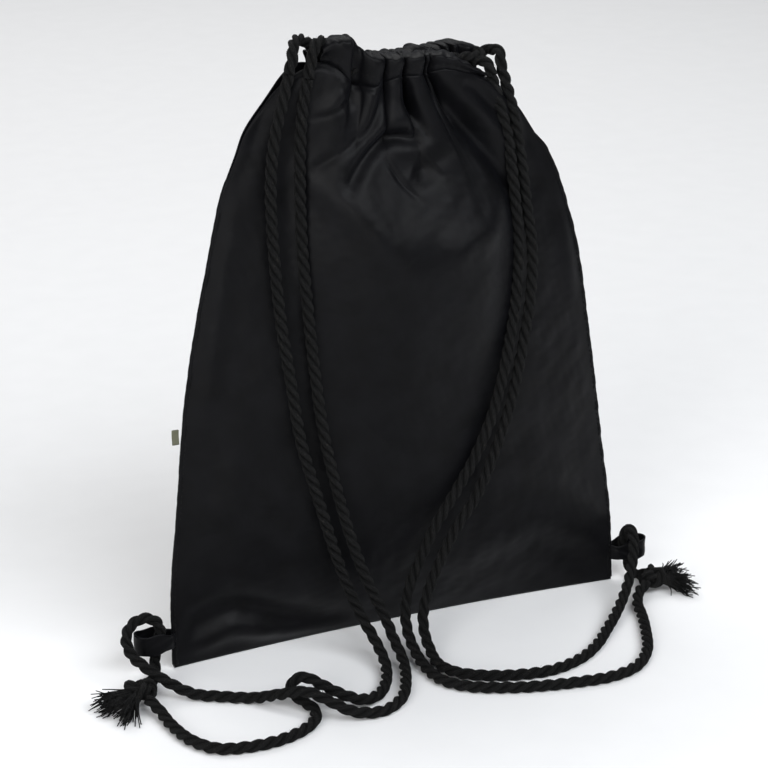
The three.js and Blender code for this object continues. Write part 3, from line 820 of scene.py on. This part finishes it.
def casing_span(side, u):
    """The mouth's u for a casing's own u, -1 at its left end and 1 at its right."""
    mouth_u = np.linspace(-1, 1, 2001)
    x, _ = mouth_plan(side, mouth_u)
    start, end = np.interp(CASING_ENDS, x, mouth_u)
    return start + (end - start) * (u + 1) / 2


VALLEY_OUT = 0.0115  # how far out the mouth stands between its pleats
CASING_OUT = 0.0143  # the same for a casing's outer layer
CASING_PLEATS = 0.74  # share of the pleats' depth that the outer layer keeps
CASING_PUFF = 0.0024
INNER_OUT, INNER_BOW = 0.0028, 0.0022  # the inner layer at its ends, and how much further in its middle
RUFFLE = 0.0021  # height of the inner layer's small ruffles
CASING_CRUMPLE = 0.0010


def casing_point(side, casing_u, w):
    """The casing tunnel: w from the outer stitch line over the top to the inner stitch line."""
    u = casing_span(side, casing_u)
    x_low, out_low = mouth_plan(side, u)
    out_high = CASING_OUT + np.clip(out_low - VALLEY_OUT, -0.002, 1) * CASING_PLEATS
    inside = smoothstep(0, 0.1, 1 - np.abs(casing_u))
    rise = np.sin(w * math.pi) ** 0.62
    crumple = ripple_noise(np.stack([casing_u * 3.2, w * 0.8], axis=-1), 0.36, 41 + side, octaves=2)
    top = curve_value(TOPS[side], x_low) + CASING_CRUMPLE * crumple * inside
    z_low = stitch_height(side, u)
    z = z_low + (top - z_low) * rise
    across = smoothstep(0.30, 0.74, w)
    outer = out_low + (out_high - out_low) * smoothstep(0.02, 0.22, w)
    outer += CASING_PUFF * np.sin(math.pi * np.clip(w / 0.45, 0, 1))
    ruffle = RUFFLE * np.sin(casing_u * 44 + 2.2 * np.sin(casing_u * 9)) * inside
    inner = INNER_OUT + INNER_BOW * (1 - casing_u**2) + ruffle
    out = outer + (inner - outer) * across + 0.0006 * crumple
    even_x = CASING_ENDS[0] + (CASING_ENDS[1] - CASING_ENDS[0]) * (casing_u + 1) / 2
    x = x_low + (even_x - x_low) * across * 0.7
    return np.stack([x, SEAM_Y + side * out, z], axis=-1)


# Widths and heights that the pieces of cloth are cut to; the back's is longer by the depth of the base.
FRONT_CUT = (0.34, 0.40)
BACK_CUT = (FRONT_CUT[0], FRONT_CUT[1] + 0.06)
CASING_CUT = (0.29, 0.034)
PANEL_GRID = (280, 300)
CASING_GRID = (40, 420)


def make_panels():
    front = grid_sheet("front_cloth", PANEL_GRID, partial(folded_cloth_point, -1), FRONT_CUT, -1)
    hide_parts("front_panel")
    back = grid_sheet("back_cloth", PANEL_GRID, back_point, BACK_CUT, 1)
    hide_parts("back_panel")
    for sheet, cut in ((front, FRONT_CUT), (back, BACK_CUT)):
        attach(sheet, "bag")


def make_casings():
    for name, side in FACES:
        point_at = partial(casing_point, side)
        casing = grid_sheet(f"{name}_casing_cloth", CASING_GRID, point_at, CASING_CUT, side)
        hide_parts(f"{name}_casing")
        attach(casing, "bag")


# ---------------------------------------------------------------- seams, stitches, tabs and label

def tube_mesh(path, radii, sides):
    """Vertices and faces of a capped round tube."""
    angle = np.arange(sides)[None] * 2 * math.pi / sides
    points = rings_round(path, angle, radii[:, None])
    return points.reshape(-1, 3), capped_tube_faces(len(path), sides)


STITCH_LONG, STITCH_GAP = 0.0026, 0.0012
STITCH_RISE, STITCH_SINK = 0.0003, 0.0002  # how far its middle arches up and its ends sink in
THREAD_RADIUS = 0.00028


def stitches(path, outward):
    """Thread stitches along a path of surface points, standing out along outward vectors."""
    parts = []
    step = path_length(path) / (len(path) - 1)
    stride = max(1, round((STITCH_LONG + STITCH_GAP) / step))
    reach = max(1, round(STITCH_LONG / step))
    for start in range(0, len(path) - reach, stride):
        span = slice(start, start + reach + 1)
        arch = np.sin(np.linspace(0, math.pi, reach + 1))[:, None]
        surface = path[span] + outward[span] * STITCH_RISE
        centres = surface + outward[span] * (arch * STITCH_RISE - STITCH_SINK)
        radii = THREAD_RADIUS * (0.5 + 0.5 * arch[:, 0])
        parts.append(tube_mesh(centres, radii, 5))
    return merged(parts)


STITCH_STEP = 0.00065  # spacing of the points along a casing's row of stitches
STITCH_UP = 0.055  # the row's share of the way round the casing


def resampled(values, at, samples):
    """Rows of values, known at the distances at, read off at the distances samples."""
    return np.stack([np.interp(samples, at, values[:, k]) for k in range(3)], axis=1)


def make_casing_stitches():
    """The line of stitches that closes each casing, just above its lower edge."""
    for name, side in FACES:
        u = np.linspace(-0.985, 0.985, 1100)
        line = casing_point(side, u, np.full_like(u, STITCH_UP))
        beyond = casing_point(side, u + 0.001, np.full_like(u, STITCH_UP))
        above = casing_point(side, u, np.full_like(u, STITCH_UP + 0.020))
        outward = np.cross(beyond - line, above - line) * -side
        outward /= np.linalg.norm(outward, axis=1)[:, None]
        along = distances_along(line)
        samples = np.linspace(0, along[-1], int(along[-1] / STITCH_STEP))
        line, outward = resampled(line, along, samples), resampled(outward, along, samples)
        row = new_object(f"{name}_casing_stitches", *stitches(line, outward), THREAD)
        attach(row, "bag")


SEAM_TOP = 0.9  # the side seams end at this share of the panels' height
SEAM_POINTS = 260


def seam_path(side, count):
    """The edge line of a side seam from the floor to where the mouth spreads, with small puckers."""
    v = np.linspace(0.004, SEAM_TOP, count)
    half = HALF_WIDTH * curve_value(OUTLINE, v)
    x = curve_value(CENTRE_X, v) + side * (half - 0.0005)
    x += 0.0004 * ripple_noise(v[:, None], 0.05, 51 + side)
    x -= side * 0.004 * smoothstep(SEAM_TOP - 0.05, SEAM_TOP, v)
    y = SEAM_Y + 0.0005 * ripple_noise(v[:, None], 0.09, 53 + side)
    z = v * STITCH_Z + 0.001
    return np.stack([x, y, z], axis=1)


SEAM_SECTION = [
    (-0.0040, 0.0013), (-0.0020, 0.0016), (-0.0005, 0.0013), (0.0002, 0.0006), (0.0002, -0.0006),
    (-0.0005, -0.0013), (-0.0020, -0.0016), (-0.0040, -0.0013),
]  # x out from the seam's edge, y across it


def seam_band(name, side, path):
    """The folded band of a side seam, 4 mm wide."""
    rings = np.stack([path + np.array([side * x, y, 0]) for x, y in SEAM_SECTION], axis=1)
    count = len(SEAM_SECTION)
    faces = capped_tube_faces(len(path), count)
    if side < 0:
        faces = [face[::-1] for face in faces]
    uvs = np.stack(np.meshgrid(np.arange(count) * 0.001, path[:, 2]), axis=-1).reshape(-1, 2)
    return new_object(name, rings.reshape(-1, 3), faces, SATIN, uvs)


def seam_stitches(name, side, path):
    """A row of stitches on each face of a side seam's band."""
    rows = []
    for face_side in (-1, 1):
        line = path + np.array([-side * 0.0022, face_side * 0.0016, 0])
        outward = np.tile([0.0, face_side, 0.0], (len(line), 1))
        rows.append(stitches(line, outward))
    return new_object(name, *merged(rows), THREAD)


def make_side_seams():
    for name, side in SIDES:
        path = seam_path(side, SEAM_POINTS)
        seam = seam_band(f"{name}_seam_band", side, path)
        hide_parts(f"{name}_side_seam")
        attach(seam, "bag")
        row = seam_stitches(f"{name}_seam_stitches", side, path)
        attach(row, "bag")


def make_bottom_seam():
    """The seam allowance inside the backpack, along the front of the base."""
    u = np.linspace(-0.93, 0.93, 160)
    edge = cloth_point(-1, u, np.zeros_like(u))
    wave = 0.0006 * np.sin(u * 60)
    y = edge[:, 1] + 0.0042
    section = [(0, 0.0022, 0), (0.0014, 0.0022, 0), (0.0016, 0.0080, 1), (0.0002, 0.0080, 1)]
    corners = [
        np.stack([edge[:, 0], y + dy + wave * waving, np.full_like(u, z)], axis=1)
        for dy, z, waving in section
    ]
    rings = np.stack(corners, axis=1)
    faces = capped_tube_faces(len(u), len(section))
    uvs = np.stack(np.meshgrid(np.arange(len(section)) * 0.003, edge[:, 0]), axis=-1).reshape(-1, 2)
    seam = new_object("bottom_seam_allowance", rings.reshape(-1, 3), faces, SATIN, uvs)
    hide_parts("bottom_seam")
    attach(seam, "bag")


TAPE_CUT = (0.014, 0.070)  # width and length of the tape in each corner loop
TAPE = 0.0013  # room that the tape takes in its box
TAPE_THICK = TAPE * 0.8
TAPE_STEP = 0.0008  # spacing of the points along the tape
TAPE_ROOT = 0.004  # how far the tape reaches into the seam
TAPE_PINCH = 0.28  # share of its width that the tape loses at the seam


def tape_plan(inner_x, reach, half_loop):
    """The tape's route seen from above, out from the seam, round the loop and back, towards +X."""
    root = inner_x - TAPE_ROOT
    corner = inner_x + reach - half_loop - TAPE / 2
    angles = np.linspace(0, math.pi, 9)
    out = [(root, -0.0008), (root + 0.004, -half_loop * 0.8), (root + 0.010, -half_loop)]
    turn = [(corner + half_loop * math.sin(a), -half_loop * math.cos(a)) for a in angles]
    back = [(x, -y) for x, y in reversed(out)]
    return smooth_path([(x, y, 0) for x, y in (*out, *turn, *back)], TAPE_STEP)


def tape_rows(side, path, inner_x, low_z, high_z, levels):
    """The tape's rows of points from its lower to its upper edge, pinched at the seam and a little wavy."""
    pinch = 1 - TAPE_PINCH * smoothstep(inner_x + 0.010, inner_x - 0.002, path[:, 0])
    rows = []
    for level in levels:
        z = (low_z + high_z) / 2 + (level - 0.5) * (high_z - low_z) * pinch
        z = z + 0.0006 * np.sin(path[:, 0] * 400 + level * 5)
        wave = 0.0003 * np.sin(level * 9 + path[:, 0] * 300)
        rows.append(np.stack([side * path[:, 0], SEAM_Y + path[:, 1] + wave, z], axis=1))
    return np.array(rows)


def make_tabs():
    """Folded tape loops at the bottom corners, each with the rope through it."""
    for name, side in SIDES:
        box_low, box_high = low(f"{name}_tab"), high(f"{name}_tab")
        inner_x = box_low.x if side > 0 else -box_high.x
        half_loop = (box_high.y - box_low.y - TAPE) / 2
        path = tape_plan(inner_x, box_high.x - box_low.x, half_loop)
        levels = np.linspace(0, 1, 16)
        points = tape_rows(side, path, inner_x, box_low.z, box_high.z, levels)
        faces = grid_faces(len(levels), len(path))
        across = np.arange(len(path)) * TAPE_STEP
        uvs = np.stack(np.meshgrid(across, levels * TAPE_CUT[0]), axis=-1).reshape(-1, 2)
        tab = new_object(f"{name}_tape_loop", points.reshape(-1, 3), faces, SATIN, uvs)
        thicken(tab, TAPE_THICK)
        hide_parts(f"{name}_tab")
        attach(tab, "bag")


LABEL_THICK = 0.0003
LABEL_STEP = 0.0003  # spacing of the points along the label


def make_label():
    """The small blank label, a strip folded double and caught in the left side seam."""
    box_low, box_high = low("side_label"), high("side_label")
    root, tip, slack = box_high.x + 0.0015, box_low.x + 0.0004, 0.0004
    half = [(root, -slack), (tip + 0.0005, -slack * 1.3)]
    plan = [*half, (tip, 0), *[(x, -y) for x, y in reversed(half)]]
    path = smooth_path([(x, y, 0) for x, y in plan], LABEL_STEP)
    levels = np.linspace(box_low.z, box_high.z, 12)
    wave = 0.0003 * np.sin(levels * 500)
    points = np.array([path + np.array([0, SEAM_Y + dy, z]) for z, dy in zip(levels, wave)]).reshape(-1, 3)
    faces = grid_faces(len(levels), len(path))
    uvs = np.stack(np.meshgrid(np.arange(len(path)) * LABEL_STEP, levels), axis=-1).reshape(-1, 2)
    label = new_object("blank_label", points, faces, LABEL, uvs)
    thicken(label, LABEL_THICK)
    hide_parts("side_label")
    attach(label, "bag")


# ---------------------------------------------------------------- knots and frayed ends

KNOT_SIZE = 0.00225  # scale of the knot's trefoil
KNOT_TILT = math.radians(25)


def knot_path(side):
    """A trefoil, the route of a tight overhand knot, about the origin."""
    t = np.linspace(0, 2 * math.pi, 40, endpoint=False)
    loop = np.stack([
        (np.sin(t) + 2 * np.sin(2 * t)) * KNOT_SIZE * 1.25,
        (np.cos(t) - 2 * np.cos(2 * t)) * KNOT_SIZE * 0.95,
        -np.sin(3 * t) * KNOT_SIZE * 1.5,
    ], axis=1)
    x, y, z = smooth_path(np.vstack([loop, loop[:2]]), ROPE_STEP).T
    cos, sin = math.cos(KNOT_TILT * side), math.sin(KNOT_TILT * side)
    return np.stack([x * cos - y * sin, x * sin + y * cos, z], axis=1)


def make_knot(side_name, side):
    """A tight knot of rope."""
    centre = (low(f"{side_name}_knot") + high(f"{side_name}_knot")) / 2
    path = knot_path(side) + np.array(centre)
    rings, uvs = rope_rings(path)
    faces = capped_tube_faces(*rings.shape[:2])
    knot = new_object(f"{side_name}_tight_knot", rings.reshape(-1, 3), faces, ROPE, uvs.reshape(-1, 2))
    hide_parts(f"{side_name}_knot")
    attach(knot, f"{side_name}_strap")
    return knot


YARNS = 110  # loose yarns in a frayed end
YARN_RADII = (0.00060, 0.00032)  # at the root and at the tip
YARN_FLOOR = 0.0006  # no yarn's middle comes lower than this
TAIL_ROOT = 0.006  # distance from the knot's middle to the yarns' roots
STRAY_YARNS = 0.12  # share of them that stick out further


def yarn_path(root, heading, across, upward, rng):
    """The route of one loose yarn of a frayed end."""
    angle, spread = rng.uniform(0, 2 * math.pi), rng.uniform(0, 1) ** 0.6
    out = across * math.cos(angle) + upward * math.sin(angle)
    stray = rng.uniform() < STRAY_YARNS
    length = rng.uniform(0.017, 0.022) + (rng.uniform(0.001, 0.004) if stray else 0)
    widen = spread * (0.0085 if stray else 0.0060)
    curl = rng.normal(0, 0.0016, size=3)
    sag = np.array([0, 0, -0.0020]) * rng.uniform(0, 1)
    points = [
        root + out * spread * 0.0030,
        root + heading * length * 0.35 + out * spread * 0.0040 + curl * 0.3,
        root + heading * length * 0.7 + out * widen * 0.85 + curl,
        root + heading * length + out * widen + curl * 2.2 + sag,
    ]
    path = smooth_path(points, 0.0016)
    path[:, 2] = np.maximum(path[:, 2], YARN_FLOOR)
    return path


def make_tail(side_name, end, seed):
    """A frayed rope end: a brush of loose yarns."""
    node = f"{side_name}_tail_{end}"
    knot = (low(f"{side_name}_knot") + high(f"{side_name}_knot")) / 2
    middle = (low(node) + high(node)) / 2
    heading = np.array((middle - knot).normalized())
    root = np.array(knot) + heading * TAIL_ROOT
    rng = np.random.default_rng(seed)
    across = np.cross(heading, [0, 0, 1])
    across /= np.linalg.norm(across)
    upward = np.cross(across, heading)
    parts = []
    for _ in range(YARNS):
        path = yarn_path(root, heading, across, upward, rng)
        radii = np.linspace(*YARN_RADII, len(path))
        parts.append(tube_mesh(path, radii, 5))
    vertices, faces = merged(parts)
    tail = new_object(f"{side_name}_frayed_end_{end}", vertices, faces, ROPE, np.array(vertices)[:, :2] * 60)
    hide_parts(node)
    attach(tail, f"{side_name}_strap")
    return tail


def hang(rope):
    """Bakes a strand's transform into its mesh."""
    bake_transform(rope)


def rope_piece(name, route, node, seed):
    """A rope along a route, in the place of a part's cord."""
    rope, path = make_rope(name, route, seed)
    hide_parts(node)
    return rope


# For each side: the run in the casings, the strand to the knot and the strand through the tape loop.
ROUTES = {
    "left": (casing_run("left", LEFT_FRONT_EXIT, LEFT_BACK_EXIT), LEFT_TO_KNOT, LEFT_THROUGH_TAB),
    "right": (casing_run("right", RIGHT_FRONT_EXIT, RIGHT_BACK_EXIT), RIGHT_TO_KNOT, RIGHT_THROUGH_TAB),
}


def make_ropes():
    """The run in the casings, the knot with its frayed ends and the two strands of each side."""
    for seed, (side_name, side) in enumerate(SIDES):
        run_route, to_knot, through_tab = ROUTES[side_name]
        run = rope_piece(f"{side_name}_rope_in_casings", run_route, f"{side_name}_cord_run",
                         10 + seed)
        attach(run, f"{side_name}_cord")
        knot = make_knot(side_name, side)
        ends = [make_tail(side_name, end, number + seed) for end, number in (("a", 60), ("b", 70))]
        strand = rope_piece(f"{side_name}_rope_to_knot", to_knot, f"{side_name}_strap_to_knot",
                            20 + seed)
        hang(strand)
        strand = rope_piece(f"{side_name}_rope_through_tab", through_tab, f"{side_name}_strap_through_tab",
                            30 + seed)
        hang(strand)


# ---------------------------------------------------------------- studio

def make_floor():
    """A floor far wider than the view, as a grid."""
    half_width, count = 14.0, 24
    lines = np.linspace(-half_width, half_width, count)
    x, y = np.meshgrid(lines, lines)
    points = np.stack([x, y, np.zeros_like(x)], axis=-1).reshape(-1, 3)
    floor = new_object("studio_floor", points, grid_faces(count, count), floor_look())


def make_light(name, at, aim, size, power, colour=(1, 1, 1)):
    data = bpy.data.lights.new(name, "AREA")
    data.shape = "RECTANGLE"
    data.size, data.size_y = size
    data.energy = power
    data.color = colour
    light = bpy.data.objects.new(name, data)
    light.location = at
    light.rotation_euler = (Vector(at) - Vector(aim)).to_track_quat("Z", "Y").to_euler()
    bpy.context.scene.collection.objects.link(light)


def make_studio():
    """The floor, three soft area lights in watts and a dim even surround."""
    make_floor()
    chest = (0, 0, 0.2)
    make_light("overhead_softbox", (0.2, 1.9, 2.8), (0.2, 1.3, 0), (3.6, 2.6), 70)
    make_light("key_softbox", (0.45, -2.0, 2.0), chest, (2.6, 1.3), 72, (0.94, 0.965, 1))
    make_light("left_fill", (-1.8, -1.6, 1.1), chest, (1.1, 1.6), 40)
    world = bpy.data.worlds.new("studio_air")
    world.use_nodes = True
    background = world.node_tree.nodes["Background"]
    background.inputs["Color"].default_value = (0.93, 0.95, 1, 1)
    background.inputs["Strength"].default_value = 0.15
    bpy.context.scene.world = world
    bpy.context.scene.view_settings.view_transform = "Standard"


make_camera()
make_ropes()
make_panels()
make_casings()
make_casing_stitches()
make_side_seams()
make_bottom_seam()
make_tabs()
make_label()
make_studio()
